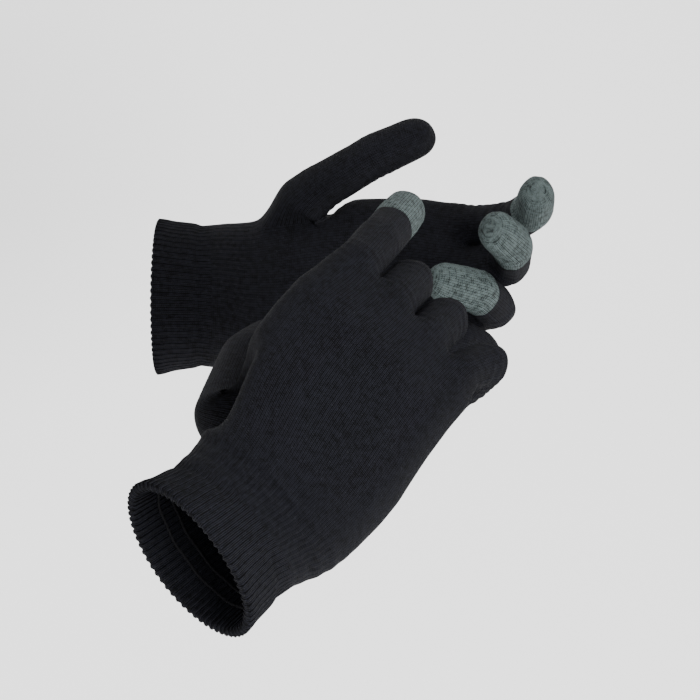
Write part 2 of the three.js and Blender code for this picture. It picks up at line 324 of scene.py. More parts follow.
# %% Rings of the heel, the palm and the knuckle band
CUFF_POWER, WRIST_POWER, BAND_POWER = 2.05, 2.1, 2.5
WRIST_SECTION = (1 * MM, 39.3 * MM, 24 * MM)
HEEL_STATIONS = [HEEL_START, HEEL_START + 5.5 * MM]
PALM_STATIONS = [6 * MM, 12 * MM, 21 * MM, 30 * MM, 40 * MM, 52 * MM, 62 * MM, 72 * MM, 82 * MM,
                 90 * MM]
BAND_STATIONS = [(9 * MM, 14.0 * MM, 0.6 * MM), (18 * MM, 12.8 * MM, 2.2 * MM)]
KNUCKLE_RISE = 0.5 * MM


def palm_power(distance):
    return float(np.interp(distance / MM, [0, 50], [WRIST_POWER, BAND_POWER]))


def body_rings(glove):
    def placed(ring, point, t):
        return [point(x * glove.side, z, t) for x, z in ring]

    for at in HEEL_STATIONS:
        ring = body_ring(0, *table_at(CUFF_SECTIONS, at), CUFF_POWER)
        glove.keep(placed(ring, glove.cuff_point, at / CUFF_LENGTH), at)
    ring = body_ring(*WRIST_SECTION, WRIST_POWER)
    ends = zip(placed(ring, glove.cuff_point, 1), placed(ring, glove.palm_point, 0))
    glove.keep([(a + b) / 2 for a, b in ends], CUFF_LENGTH)
    for at in PALM_STATIONS:
        ring = body_ring(*table_at(PALM_SECTIONS, at), palm_power(at))
        glove.keep(placed(ring, glove.palm_point, at / PALM_LENGTH), CUFF_LENGTH + at)
    for at, thick, dip in BAND_STATIONS:
        ring = body_ring(0, 47 * MM, thick, BAND_POWER)
        for j in (2, 4, 6):  # the valleys between the knuckles, on the back and in the palm
            ring[j][1] -= dip
            ring[18 - j][1] += dip * 0.7
        for j in (1, 3, 5, 7):
            ring[j][1] += KNUCKLE_RISE
        spots = [glove.band_point(x * glove.side, at, z) for x, z in ring]
        glove.keep(spots, CUFF_LENGTH + PALM_LENGTH + at)


trial = Glove("right", 1)
body_rings(trial)
print(len(trial.rings), "rings from the ribbing to the forks")

# %% [markdown]
# The fork ring has one point for each column. A column that two fingers share, in a fork,
# gets the average of their two points, sunk a little on the back and front and raised in the
# middle, so that the knit bridges the fork as a web.

# %% Fork ring
FORK_DIP, WEB_RISE = 1.5 * MM, 1.0 * MM


def fork_places(glove):
    """Where every finger's own root ring would be, gathered by the column it belongs to."""
    found = {}
    for k, (name, (middle, wide, thick)) in enumerate(FINGERS.items()):
        bend = bend_between(glove.band, glove.parts[f"{name}_base"][1])
        for j, (x, z) in enumerate(oval_ring(FINGER_ANGLES, wide, thick)):
            along = BAND_LENGTH + (z - thick / 2) * math.tan(bend / 2)
            offset = Vector(((middle + x) * glove.side, along, z + BAND_CENTRE))
            if j in (0, 1, 2):
                key = ("back", 2 * k + j)
            elif j in (4, 5, 6):
                key = ("front", 2 * k + 6 - j)
            else:
                key = ("web", k + (1 if j == 3 else 0))
            found.setdefault(key, []).append(glove.knuckles + glove.band @ offset)
    return found


def fork_ring(glove):
    """Adds the ring and gives the number of the point at each place."""
    fork = {}
    for key, spots in fork_places(glove).items():
        spot = sum(spots, Vector()) / len(spots)
        if len(spots) == 2:
            spot += glove.band.col[1] * (WEB_RISE if key[0] == "web" else -FORK_DIP)
        fork[key] = glove.cage.ring([spot])[0]
    back = [fork[("back", j)] for j in range(9)]
    front = [fork[("front", j)] for j in range(8, -1, -1)]
    glove.rings.append(back + [fork[("web", 4)]] + front + [fork[("web", 0)]])
    glove.distances.append(CUFF_LENGTH + PALM_LENGTH + BAND_LENGTH)
    return fork


print(len(fork_ring(trial)), "points at the forks, 3 of them inside the webs")

# %% Faces of the body, with a patch left open for the thumb
PATCH_ENDS = (12 * MM, 52 * MM)  # distance from the wrist fold
PATCH_COLUMNS = (19, 18, 17)  # between back and thumb side, thumb side and palm, palm


def patch_rows(glove):
    return [glove.distances.index(CUFF_LENGTH + at) for at in PATCH_ENDS]


def body_strips(glove):
    first, last = patch_rows(glove)
    for i, (low, high) in enumerate(zip(glove.rings, glove.rings[1:])):
        skip = PATCH_COLUMNS if first <= i < last else ()
        v = [distance / COURSE for distance in glove.distances[i:i + 2]]
        glove.cage.strip(low, high, "heel" if i < first else "palm", PALM_WALES, *v, skip)


body_strips(trial)
print(len(trial.cage.faces), "faces up to the forks")

# %% [markdown]
# A digit is a tube swept along its stretches. Each stretch has a few rings, given as shares
# of its length, and each ring is a little smaller or larger than the root. A stretch is
# split between two pieces where it doesn't bend.

# %% Tubes of the digits
Stretch = namedtuple("Stretch", "spot axes length before after fan stations scales splits names")
DOME_SHARES = (0.35, 0.62, 0.83, 0.955)
TIP_SCALE = 0.93


def tip_shape(length, thick):
    """Stations and sizes of a fingertip: nearly straight, then a dome."""
    straight = 1 - thick * 1.2 / length
    stations, scales = [0.13, 0.3, straight], [0.985, 0.965, TIP_SCALE]
    for share in DOME_SHARES:
        stations.append(straight + (1 - straight) * share)
        scales.append(TIP_SCALE * math.sqrt(1 - share**2.2))
    return stations, scales


def sweep(glove, ring, stretches, outline, hinge, prefix, wales, v):
    """Tubes from a ring on, closed at the end; hinge is how high the folds lie."""
    for s in stretches:
        for index, t in enumerate(s.stations):
            spots = []
            for x, z in outline:
                x, z = x * s.scales[index] * glove.side, z * s.scales[index] - hinge
                near = -z * math.tan(s.before / 2) - x * math.tan(s.fan / 2)
                far = s.length + z * math.tan(s.after / 2)
                spots.append(s.spot + s.axes @ Vector((x, near + (far - near) * t, z)))
            new = glove.cage.ring(spots)
            step = s.length * (t - (s.stations[index - 1] if index else 0)) / COURSE
            label = f"{prefix}_{s.names[sum(t > split + 1e-6 for split in s.splits)]}"
            glove.cage.strip(ring, new, label, wales, v, v + step)
            ring, v = new, v + step
    glove.cage.cap(ring, label, wales, v)


print("the dome of a fingertip has", len(DOME_SHARES), "rings")

# %% Fingers
BASE_SHAPE = ([0.24, 0.5, 0.8, 1.0], [0.99, 0.985, 0.985, 0.985], [0.5], ("root", "knuckle"))
MIDDLE_SHAPE = (
    [0.24, 0.5, 0.76, 1.0], [0.97, 0.965, 0.965, 0.97], [0.5, 0.76], ("knuckle", "upper", "tip"),
)


def add_finger(glove, name, k, fork):
    _, wide, thick = FINGERS[name]
    base, middle, tip = [glove.parts[f"{name}_{s}"] for s in ("base", "middle", "tip")]
    curls = [bend_between(glove.band, base[1]), bend_between(base[1], middle[1]),
             bend_between(middle[1], tip[1])]
    fan = turn_between(glove.band, base[1])
    tip_form = (*tip_shape(TIP_LENGTH[name], thick), [], ("tip",))
    stretches = [
        Stretch(*base, (middle[0] - base[0]).length, curls[0], curls[1], fan, *BASE_SHAPE),
        Stretch(*middle, (tip[0] - middle[0]).length, curls[1], curls[2], 0, *MIDDLE_SHAPE),
        Stretch(*tip, TIP_LENGTH[name], curls[2], 0, 0, *tip_form),
    ]
    keys = [("back", 2 * k), ("back", 2 * k + 1), ("back", 2 * k + 2), ("web", k + 1),
            ("front", 2 * k + 2), ("front", 2 * k + 1), ("front", 2 * k), ("web", k)]
    outline = oval_ring(FINGER_ANGLES, wide, thick)
    start = glove.distances[-1] / COURSE
    sweep(glove, [fork[key] for key in keys], stretches, outline, thick / 2, name, FINGER_WALES, start)


# %% [markdown]
# The thumb grows out of the open patch. The points of its rings are turned so that each lies
# over the patch point that it joins, which keeps the faces from twisting.

# %% Thumb
STUB_SHAPE = ([0.7, 0.86, 1.0], [1.28, 1.12, 1.04], [], ("root",))
THUMB_SHAPE = ([0.22, 0.5, 0.8, 1.0], [1, 0.99, 0.985, 0.98], [0.5], ("root", "upper"))
THUMB_COLUMN, THUMB_COURSE = 4, 60  # stitches in each column, and the row it starts from
PATCH_LOOK = 30 * MM  # how far up the stub the patch is looked at from


def patch_loop(glove):
    """The points round the open patch: up the back edge, and down the palm edge."""
    first, last = patch_rows(glove)
    rings = glove.rings
    loop = [rings[i][0] for i in range(first, last + 1)] + [rings[last][19], rings[last][18]]
    loop += [rings[i][17] for i in range(last, first - 1, -1)]
    return loop + [rings[first][18], rings[first][19]]


def loop_angles(glove, loop):
    """Evenly spaced angles around the stub that fit the points of the loop best."""
    root, stub = glove.parts["stub"]
    middle = root + stub.col[1] * PATCH_LOOK - stub.col[2] * THUMB_THICK / 2
    seen = []
    for number in loop:
        offset = stub.transposed() @ (glove.cage.points[number] - middle)
        seen.append(math.atan2(offset.z, offset.x * glove.side))
    seen = np.unwrap(seen)
    steps = np.arange(len(loop)) * 2 * math.pi / len(loop)
    if seen[-1] < seen[0]:
        steps = -steps
    return [math.degrees(angle) for angle in steps + np.mean(seen - steps)]


def add_thumb(glove):
    loop = patch_loop(glove)
    stub, base, tip = [glove.parts[name] for name in ("stub", "thumb_base", "thumb_tip")]
    curls = [bend_between(stub[1], base[1]), bend_between(base[1], tip[1])]
    stations, scales = tip_shape(THUMB_TIP, THUMB_THICK)
    tip_form = (stations, scales, [stations[0]], ("upper", "tip"))
    stretches = [
        Stretch(*stub, (base[0] - stub[0]).length, 0, curls[0], 0, *STUB_SHAPE),
        Stretch(*base, (tip[0] - base[0]).length, curls[0], curls[1], 0, *THUMB_SHAPE),
        Stretch(*tip, THUMB_TIP, curls[1], 0, 0, *tip_form),
    ]
    outline = oval_ring(loop_angles(glove, loop), THUMB_WIDE, THUMB_THICK)
    wales = [THUMB_COLUMN] * len(loop)
    sweep(glove, loop, stretches, outline, THUMB_THICK / 2, "thumb", wales, THUMB_COURSE)


print("the thumb has", len(patch_loop(trial)), "columns")

# %% [markdown]
# The whole cage is then smoothed with a Subdivision Surface, which is applied so that the
# skin can be creased and cut. The labels travel through it as material numbers.

# %% Smoothed skin
SMOOTH_LEVELS = 3


def face_outwards(obj):
    bpy.ops.object.select_all(action="DESELECT")
    bpy.context.view_layer.objects.active = obj
    obj.select_set(True)
    bpy.ops.object.mode_set(mode="EDIT")
    bpy.ops.mesh.select_all(action="SELECT")
    bpy.ops.mesh.normals_make_consistent(inside=False)
    bpy.ops.object.mode_set(mode="OBJECT")


def stitch_map(mesh, stitches):
    layer = mesh.uv_layers.new(name="stitches")
    layer.data.foreach_set("uv", np.array(stitches, np.float32).ravel())


def smooth_skin(glove):
    cage = glove.cage
    body_rings(glove)
    fork = fork_ring(glove)
    body_strips(glove)
    for k, name in enumerate(FINGERS):
        add_finger(glove, name, k, fork)
    add_thumb(glove)
    mesh = bpy.data.meshes.new(f"{glove.hand}_glove")
    mesh.from_pydata([tuple(p) for p in cage.points], [], cage.faces)
    mesh.polygons.foreach_set("material_index", cage.labels)
    stitch_map(mesh, [uv for face in cage.stitches for uv in face])
    for _ in cage.names:
        mesh.materials.append(None)
    skin = bpy.data.objects.new(f"{glove.hand}_glove", mesh)
    bpy.context.collection.objects.link(skin)
    face_outwards(skin)
    smoothing = skin.modifiers.new("smooth", "SUBSURF")
    smoothing.levels = smoothing.render_levels = SMOOTH_LEVELS
    smoothing.uv_smooth = "NONE"
    bpy.ops.object.modifier_apply(modifier=smoothing.name)
    return skin


gloves = [Glove("right", 1), Glove("left", -1)]
skins = [smooth_skin(glove) for glove in gloves]
for glove, skin in zip(gloves, skins):
    print(glove.hand, "glove:", len(glove.cage.faces), "faces smoothed to", len(skin.data.polygons))

# %% [markdown]
# Worn knitting is never quite smooth. The skin gets a slow unevenness, and short creases
# across each fold but the knuckle line, on the side where the knit is gathered up.

# %% Folds of the skin
FOLDS = {  # label of the skin: (fold, stretch before, stretch after, bodies before and after)
    "heel": ("wrist", "cuff", "palm", "cuff", "hand"),
    "palm": ("knuckles", "palm", "band", "hand", "knuckles"),
    "thumb_root": ("thumb_root", "stub", "thumb_base", "hand", "thumb_base"),
    "thumb_upper": ("thumb_tip_fold", "thumb_base", "thumb_tip", "thumb_base", "thumb_tip"),
}
NEXT_PIECES = {  # which pieces lie on the far side of a piece's fold
    "heel": ["palm"], "palm": [f"{digit}_root" for digit in FINGERS], "thumb_root": ["thumb_upper"],
}
for digit in FINGERS:
    base, middle, tip = [f"{digit}_{stretch}" for stretch in ("base", "middle", "tip")]
    FOLDS[f"{digit}_root"] = (f"{digit}_root", "band", base, "knuckles", base)
    FOLDS[f"{digit}_knuckle"] = (f"{digit}_knuckle", base, middle, base, middle)
    FOLDS[f"{digit}_upper"] = (f"{digit}_tip_fold", middle, tip, middle, tip)
    NEXT_PIECES[f"{digit}_root"] = [f"{digit}_knuckle"]
    NEXT_PIECES[f"{digit}_knuckle"] = [f"{digit}_upper"]
for digit in (*FINGERS, "thumb"):
    FOLDS[f"{digit}_tip"] = FOLDS[f"{digit}_upper"]
print(len(FOLDS), "pieces of skin on each hand, each across one fold")

# %% Unevenness and creases
SLOW_SWELL, SLOW_SCALE = 0.55 * MM, 38
FINE_SWELL, FINE_SCALE = 0.22 * MM, 110
CREASE_REACH = {"wrist": 16 * MM, "knuckles": 12 * MM}
FINGER_REACH = 9 * MM


def values_of(items, name, width, kind=float):
    """A property of all vertices, loops or faces as an array of rows."""
    values = np.zeros(len(items) * width, kind)
    items.foreach_get(name, values)
    return values.reshape(-1, width)


def crease(points, spot, along, back, depth, pitch, reach, inner):
    """Ripples across a fold, strongest at the fold and only on its inner side (1 back, -1 palm)."""
    offset = points - np.array(spot)
    run, height = offset @ np.array(along), offset @ np.array(back)
    across = offset @ np.array(along.cross(back))
    mask = 1 / (1 + np.exp(-inner * height / (3 * MM)))
    wander = 0.8 * np.sin(height / (4 * MM)) + 0.6 * np.sin(across / (6 * MM))
    return depth * mask * np.cos(2 * math.pi * run / pitch + wander) * np.exp(-((run / reach) ** 2))


def fold_creases(glove, points, fold, before, after):
    spot = place(f"{glove.hand}_{fold}")
    start, end = glove.parts[before][1], glove.parts[after][1]
    along = (start.col[1] + end.col[1]).normalized()
    back = (start.col[2] + end.col[2]).normalized()
    bend = bend_between(start, end)
    wrist = fold == "wrist"
    away = np.linalg.norm(points - np.array(spot), axis=1)
    nearness = np.clip(1.6 - away / ((48 if wrist else 22) * MM), 0, 1)
    depth = min(0.42, 0.16 + abs(bend) * 0.3) * MM * (1.6 if wrist else 1)
    pitch = (8 if wrist else 4.6) * MM
    reach = CREASE_REACH.get(fold, FINGER_REACH)
    inner = -1 if bend > 0 else 1
    return nearness * crease(points, spot, along, back, depth, pitch, reach, inner)


def wrinkle(glove, skin):
    points = values_of(skin.data.vertices, "co", 3)
    normals = values_of(skin.data.vertex_normals, "vector", 3, np.float32)
    push = np.array([
        SLOW_SWELL * noise.noise(Vector(p) * SLOW_SCALE)
        + FINE_SWELL * noise.noise(Vector(p) * FINE_SCALE) for p in points
    ])
    for label, (fold, before, after, _, _) in FOLDS.items():
        if not label.endswith("_tip") and label != "palm":
            push += fold_creases(glove, points, fold, before, after)
    skin.data.vertices.foreach_set("co", (points + normals * push[:, None]).ravel())
    skin.data.update()
    return push


for glove, skin in zip(gloves, skins):
    push = wrinkle(glove, skin)
    print(glove.hand, "skin moved by", round(push.min() / MM, 2), "to", round(push.max() / MM, 2), "mm")

# %% [markdown]
# Finishes. Shader arithmetic is written with a small wrapper, so that it reads as ordinary
# formulas. Everything is worked out from the stitch map, where one unit is one stitch.

# %% Shader arithmetic
class Socket:
    """A node's output that can be added, multiplied and so on, which adds Math nodes."""

    def __init__(self, tree, socket):
        self.tree, self.socket = tree, socket

    def __add__(self, other):
        return math_node(self.tree, "ADD", self, other)

    def __radd__(self, other):
        return math_node(self.tree, "ADD", other, self)

    def __sub__(self, other):
        return math_node(self.tree, "SUBTRACT", self, other)

    def __rsub__(self, other):
        return math_node(self.tree, "SUBTRACT", other, self)

    def __mul__(self, other):
        return math_node(self.tree, "MULTIPLY", self, other)

    def __rmul__(self, other):
        return math_node(self.tree, "MULTIPLY", other, self)

    def __truediv__(self, other):
        return math_node(self.tree, "DIVIDE", self, other)

    def __rtruediv__(self, other):
        return math_node(self.tree, "DIVIDE", other, self)

    def __pow__(self, other):
        return math_node(self.tree, "POWER", self, other)

    def __rpow__(self, other):
        return math_node(self.tree, "POWER", other, self)

    def __abs__(self):
        return math_node(self.tree, "ABSOLUTE", self)


def link(tree, value, target):
    if isinstance(value, Socket):
        tree.links.new(value.socket, target)
    else:
        target.default_value = value


def node(tree, kind, sockets, settings=None, output=0):
    """Any node: its type, its sockets by name or number, and its settings, which come first."""
    made = tree.nodes.new(kind)
    for key, value in (settings or {}).items():
        setattr(made, key, value)
    for key, value in sockets.items():
        link(tree, value, made.inputs[key])
    return Socket(tree, made.outputs[output])


def math_node(tree, kind, *values):
    return node(tree, "ShaderNodeMath", dict(enumerate(values)), {"operation": kind})


def clamped(tree, value):
    return math_node(tree, "MAXIMUM", math_node(tree, "MINIMUM", value, 1.0), 0.0)


def mix_colour(tree, share, first, second):
    sockets = {0: share, 6: first, 7: second}
    return node(tree, "ShaderNodeMix", sockets, {"data_type": "RGBA"}, output=2)


print("the wrapper knows", sum(name.startswith("__r") for name in vars(Socket)), "reflected forms")

# %% [markdown]
# Plain knitting shows columns of V shapes. Each stitch is two rounded legs that lean away
# from each other, with gaps between that get painted shade. Loose fibres give a sheen at grazing
# angles.

# %% Stitches
LEG_LEAN = 0.7  # how far a leg climbs on its way across, in stitches
COLUMN_WANDER, ROW_WANDER = 0.25, 0.3  # how far the stitches stray from a perfect grid


def stitch_height(tree, u, v):
    """Height of the yarn, from 0 in the gaps to 1 on top of a leg."""
    across = abs(math_node(tree, "FRACT", u) - 0.5) * 2
    leg = 1 - (abs(across - 0.5) * 2) ** 2.0
    row = math_node(tree, "FRACT", v - across * LEG_LEAN)
    loop = 1 - (abs(row - 0.5) * 2) ** 2.5
    height = math_node(tree, "MAXIMUM", leg, 0.0) ** 0.6 * (loop * 0.5 + 0.5)
    # the gap between two columns is deeper than the gap inside a V
    return height * (1 - across**3.0 * 0.75)


def noise_patch(tree, scale, detail):
    spot = node(tree, "ShaderNodeTexCoord", {}, output=3)
    return node(tree, "ShaderNodeTexNoise", {"Vector": spot, "Scale": scale, "Detail": detail})


print("a leg climbs", LEG_LEAN, "of a stitch")

# %% Ribbing in the finish
RIBS = 65
PALM_STITCHES = sum(PALM_WALES)
RIB_FADE, RIB_RELIEF = 14.0, 0.9  # rows that the ribbing takes to fade out, and its height


def rib_relief(tree, u, v, last_row):
    """The ribbing runs on into the heel of the hand and fades out there."""
    fade = clamped(tree, (last_row - v) / RIB_FADE)
    return math_node(tree, "COSINE", u * (2 * math.pi * RIBS / PALM_STITCHES)) * fade * RIB_RELIEF


print("one rib is", round(PALM_STITCHES / RIBS, 2), "stitches wide")

# %% Knitted finish
HEATHER_SCALE, TUFT_SCALE, CLOUD_SCALE, LINT_SCALE, WANDER_SCALE = 420.0, 1500.0, 28.0, 1300.0, 90.0
LINT_FROM, LINT_SHARE = 0.76, 0.25
FIBRE_GLOSS = 0.08  # wool and acrylic are duller than plastic


def knitted(name, painted_shade_and_low_heather, light, fleck, depth, sheen, roughness, last_rib_row=0.0):
    """Yarn from painted shade in the gaps to light on top, with flecks of lint; depth is in metres."""
    material = bpy.data.materials.new(name)
    material.use_nodes = True
    tree = material.node_tree
    shader = tree.nodes["Principled BSDF"].inputs
    stitches = node(tree, "ShaderNodeUVMap", {}, {"uv_map": "stitches"})
    u, v = [node(tree, "ShaderNodeSeparateXYZ", {"Vector": stitches}, output=i) for i in (0, 1)]
    wander = noise_patch(tree, WANDER_SCALE, 1.0) - 0.5
    u, v = u + wander * COLUMN_WANDER, v + wander * ROW_WANDER
    height = stitch_height(tree, u, v)
    tuft = noise_patch(tree, TUFT_SCALE, 2.0)
    heather = noise_patch(tree, HEATHER_SCALE, 3.0)
    cloud = noise_patch(tree, CLOUD_SCALE, 2.0)
    # painted shade: the colour follows the yarn's height, so the gaps between the legs are painted
    # darker, while heather and cloud add random tone
    shade_and_heather_tone = height * 2.9 + (heather - 0.5) * 4.2 + (cloud - 0.5) * 1.2 - 1.0
    colour = mix_colour(tree, clamped(tree, shade_and_heather_tone), painted_shade_and_low_heather, light)
    lint = math_node(tree, "GREATER_THAN", noise_patch(tree, LINT_SCALE, 0.0), LINT_FROM) * LINT_SHARE
    link(tree, mix_colour(tree, lint, colour, fleck), shader["Base Color"])
    link(tree, roughness + (tuft - 0.5) * 0.12 - height * 0.04, shader["Roughness"])
    shader["Sheen Weight"].default_value = sheen
    shader["Sheen Roughness"].default_value = 0.45
    shader["Sheen Tint"].default_value = (*[min(1, c * 3 + 0.25) for c in light[:3]], 1)
    shader["Specular IOR Level"].default_value = FIBRE_GLOSS
    relief = height + tuft * 0.35 + cloud * 0.6
    if last_rib_row:
        relief = relief + rib_relief(tree, u, v, last_rib_row)
    bump = node(tree, "ShaderNodeBump", {"Height": relief, "Distance": depth, "Strength": 0.9})
    link(tree, bump, shader["Normal"])
    return material


# %% The four finishes
# each finish: painted shade for the gaps between the legs, the yarn's light colour on top, and lint
# flecks
CHARCOAL = ((0.0002, 0.0002, 0.0004, 1), (0.0100, 0.0104, 0.0155, 1), (0.040, 0.042, 0.052, 1))
SLATE = ((0.002, 0.004, 0.004, 1), (0.128, 0.164, 0.162, 1), (0.26, 0.30, 0.30, 1))
COVERED = ((0.004, 0.004, 0.005, 1), (0.012, 0.012, 0.015, 1), (0.02, 0.02, 0.02, 1))
YARN_DEPTH, THREAD_DEPTH = 1.8 * MM, 0.1 * MM
HEEL_LAST_RIB = 56.0
knit = knitted("charcoal_knit", *CHARCOAL, YARN_DEPTH, 0.03, 0.9)
heel_knit = knitted("charcoal_knit_ribbed", *CHARCOAL, YARN_DEPTH, 0.03, 0.9, HEEL_LAST_RIB)
grey = knitted("conductive_knit", *SLATE, YARN_DEPTH, 0.05, 0.8)
elastic = knitted("covered_elastic", *COVERED, THREAD_DEPTH, 0.1, 0.6)
for finish in (knit, heel_knit, grey, elastic):
    print(finish.name, "has", len(finish.node_tree.nodes), "nodes")

# %% [markdown]
# Cutting the skin. Every piece is a closed shell: the outer skin, a second skin a wall
# thickness further in, and a rim that joins them. Neighbours share their border exactly, and
# the normals come from the whole skin, so that no line shows where two pieces meet.

# %% Closed shells
def border_of(faces):
    """Edges of only one face: their two ends, that face and its corner."""
    edges = {}
    for f, face in enumerate(faces):
        for k in range(4):
            edges[(int(face[k]), int(face[(k + 1) % 4]))] = (f, k)
    return [(a, b, *edges[(a, b)]) for a, b in edges if (b, a) not in edges]


def closed_shell(name, points, normals, faces, uvs):
    total = len(points)
    rim = border_of(faces)
    shell = [tuple(map(int, face)) for face in faces]
    shell += [tuple(int(v) + total for v in face[::-1]) for face in faces]
    shell += [(b, a, a + total, b + total) for a, b, _, _ in rim]
    rim_uvs = []
    for _, _, f, k in rim:
        start, end = uvs[f][k], uvs[f][(k + 1) % 4]
        rim_uvs.append((end, start, start, end))
    rim_uvs = np.array(rim_uvs, np.float32).reshape(-1, 4, 2)
    mesh = bpy.data.meshes.new(name)
    mesh.from_pydata(np.concatenate([points, points - normals * WALL]).tolist(), [], shell)
    stitch_map(mesh, np.concatenate([uvs, uvs[:, ::-1], rim_uvs]))
    mesh.polygons.foreach_set("use_smooth", [True] * (2 * len(faces)) + [False] * len(rim))
    mesh.normals_split_custom_set_from_vertices(np.concatenate([normals, -normals]).tolist())
    return mesh


# %% [markdown]
# A piece's fold span lies between its two borders: past the last point that it shares with a
# piece before the fold, and before the first that it shares with a piece after it; it is printed.

# %% Where a piece may bend
FOLD_REACH = 22 * MM  # a wide fold keeps its bend this near to the joint
NARROWEST_FOLD = 2 * MM
FREE_END = 8 * MM


def fold_borders(glove, name, used, points, edge):
    """The skin's points before and after the fold; edge is the piece's own open edge."""
    digit = name.rsplit("_", 1)[0]
    tip_group = name.endswith(("_upper", "_tip"))
    group = {f"{digit}_upper", f"{digit}_tip"} if tip_group else {name}
    own = set().union(*(used[piece] for piece in group))
    near, far = set(), set()
    for other in glove.cage.names:
        if other not in group:
            (far if other in NEXT_PIECES.get(name, []) else near).update(own & used[other])
    if name == "heel":
        start = np.array(place(f"{glove.hand}_wrist"))
        along = np.array(glove.cuff.col[1])
        near |= {v for v in edge - used["palm"] if (points[v] - start) @ along < 0}
        # the thumb's root touches the heel on the far side of the wrist
        far |= own & used["thumb_root"]
    return near - far, far


def fold_span(spot, start, end, near, far, points):
    """The direction in which the two borders lie furthest apart, and where each one ends."""
    best = None
    for share in (0, 0.25, 0.5, 0.75, 1):
        along = (start * (1 - share) + end * share).normalized()
        low = max((points[list(near)] - np.array(spot)) @ np.array(along))
        if far:
            high = min((points[list(far)] - np.array(spot)) @ np.array(along))
        else:
            high = max(FREE_END, -low * 0.8)
        if best is None or high - low > best[1] - best[0]:
            best = (low, high, along)
    low, high, along = best
    if high - low < NARROWEST_FOLD:
        middle = (low + high) / 2
        low, high = middle - NARROWEST_FOLD / 2, middle + NARROWEST_FOLD / 2
    return max(low, -FOLD_REACH), min(high, FOLD_REACH), along


# %% Pieces of the skin
GREY_TIPS = ("index_tip", "middle_tip", "ring_tip")


def cut_pieces(glove, skin):
    hand, mesh = glove.hand, skin.data
    points = values_of(mesh.vertices, "co", 3)
    normals = values_of(mesh.vertex_normals, "vector", 3, np.float32)
    faces = values_of(mesh.loops, "vertex_index", 1, np.int32).reshape(-1, 4)
    uvs = values_of(mesh.uv_layers["stitches"].data, "uv", 2, np.float32).reshape(-1, 4, 2)
    labels = values_of(mesh.polygons, "material_index", 1, np.int32).ravel()
    used = {name: set(faces[labels == i].ravel()) for i, name in enumerate(glove.cage.names)}
    made = {}
    for i, name in enumerate(glove.cage.names):
        ids, local = np.unique(faces[labels == i], return_inverse=True)
        local = local.reshape(-1, 4)
        shell = closed_shell(
            f"{hand}_{name}_knit", points[ids], normals[ids], local, uvs[labels == i]
        )
        is_grey = name in GREY_TIPS
        shell.materials.append(grey if is_grey else heel_knit if name == "heel" else knit)
        piece = bpy.data.objects.new(f"{hand}_{name}_knit", shell)
        bpy.context.collection.objects.link(piece)
        made[name] = piece

        fold, before, after, body_a, body_b = FOLDS[name]
        spot = place(f"{hand}_{fold}")
        edge = {int(ids[a]) for a, _, _, _ in border_of(local)} if name == "heel" else set()
        near, far = fold_borders(glove, name, used, points, edge)
        ends = [glove.parts[stretch][1].col[1] for stretch in (before, after)]
        low, high, d = fold_span(spot, *ends, near, far, points)
        low_end, high_end = spot + d * low, spot + d * high
        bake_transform(piece)
        print(f"{hand} {name}: {len(shell.polygons)} faces,",
              f"folds from {low / MM:.1f} to {high / MM:.1f} mm")
    bpy.data.objects.remove(skin)
    return made


print(len(GREY_TIPS), "finger tips of each hand are knitted in conductive yarn")

# %% Frame tubes that the pieces stand for
CAD_FOR = {"palm": ["palm", "knuckle_band"], "thumb_root": ["thumb_base"], "thumb_tip": ["thumb_tip"]}
for digit in FINGERS:
    CAD_FOR[f"{digit}_root"] = [f"{digit}_base"]
    CAD_FOR[f"{digit}_knuckle"] = [f"{digit}_middle"]
    CAD_FOR[f"{digit}_tip"] = [f"{digit}_tip"]
print(sum(len(nodes) for nodes in CAD_FOR.values()), "tubes of each hand are drawn as knitting")

# %% [markdown]
# The cuff. It is knitted in ribs, which stand out as rounded ridges and let it stretch over
# the hand. Its mouth is turned in and stitched down, so the last rows are double. Both the
# outside and the inside are modelled, because the mouth stands open.

# %% Profile of the cuff
CUFF_WALL = 2.3 * MM
HEM_DEPTH, HEM_THICK = 21 * MM, 1.5 * MM
LIP = 1.0 * MM  # the mouth turns in this far from the end
LIP_TURNS = (25, 60, 90, 120, 155)


def rib_at(at):
    """Height of a rib: strongest near the mouth, and gone where the heel starts."""
    fade = float(np.clip((HEEL_START - at) / (4 * MM), 0, 1)) ** 0.7
    return (0.2 + 0.4 * math.exp(-at / (3 * MM))) * MM * fade


def hem_at(at):
    """How far the double hem stands out, with a soft roll near the mouth."""
    edge = 1 / (1 + math.exp((at - HEM_DEPTH) / (0.7 * MM)))
    roll = 0.5 * MM * math.exp(-(((at - 3 * MM) / (3.5 * MM)) ** 2))
    return HEM_THICK * edge + roll


def cuff_profile():
    """Rings down the outside, round the lip and up the inside. Each is its distance from the
    mouth, how far in it lies, its ribs' height, the hem, the lip's waviness and its knitted row."""
    heights = np.concatenate(
        [np.linspace(HEEL_START, 8 * MM, 26), np.linspace(7.6 * MM, 1.2 * MM, 9)]
    )
    rows = [(at, 0, rib_at(at), hem_at(at), 0, at) for at in heights]
    for turn in LIP_TURNS:
        s, c = math.sin(math.radians(turn)), math.cos(math.radians(turn))
        hem = 1.95 * MM * (1 + c) / 2
        inset = (1 - c) * CUFF_WALL / 2
        rows.append((LIP - 1.1 * MM * s, inset, 0.7 * MM * c, hem, 0.7 * MM * s, LIP - MM * s))
    for at in heights[::-1]:
        fade = float(np.clip((HEEL_START - at) / (6 * MM), 0, 1))
        inset = CUFF_WALL * fade + WALL * (1 - fade)
        rows.append((at, inset, -0.55 * MM * fade, 0, 0, -at))
    return rows


print("the cuff has", len(cuff_profile()), "rings")

# %% Edge of the heel that the cuff is sewn to
RIB_STEPS = 8
theta = (np.arange(RIBS * RIB_STEPS) / (RIBS * RIB_STEPS) * 2 - 1) * math.pi
ridge = np.sign(np.cos(theta * RIBS)) * np.abs(np.cos(theta * RIBS)) ** 0.8


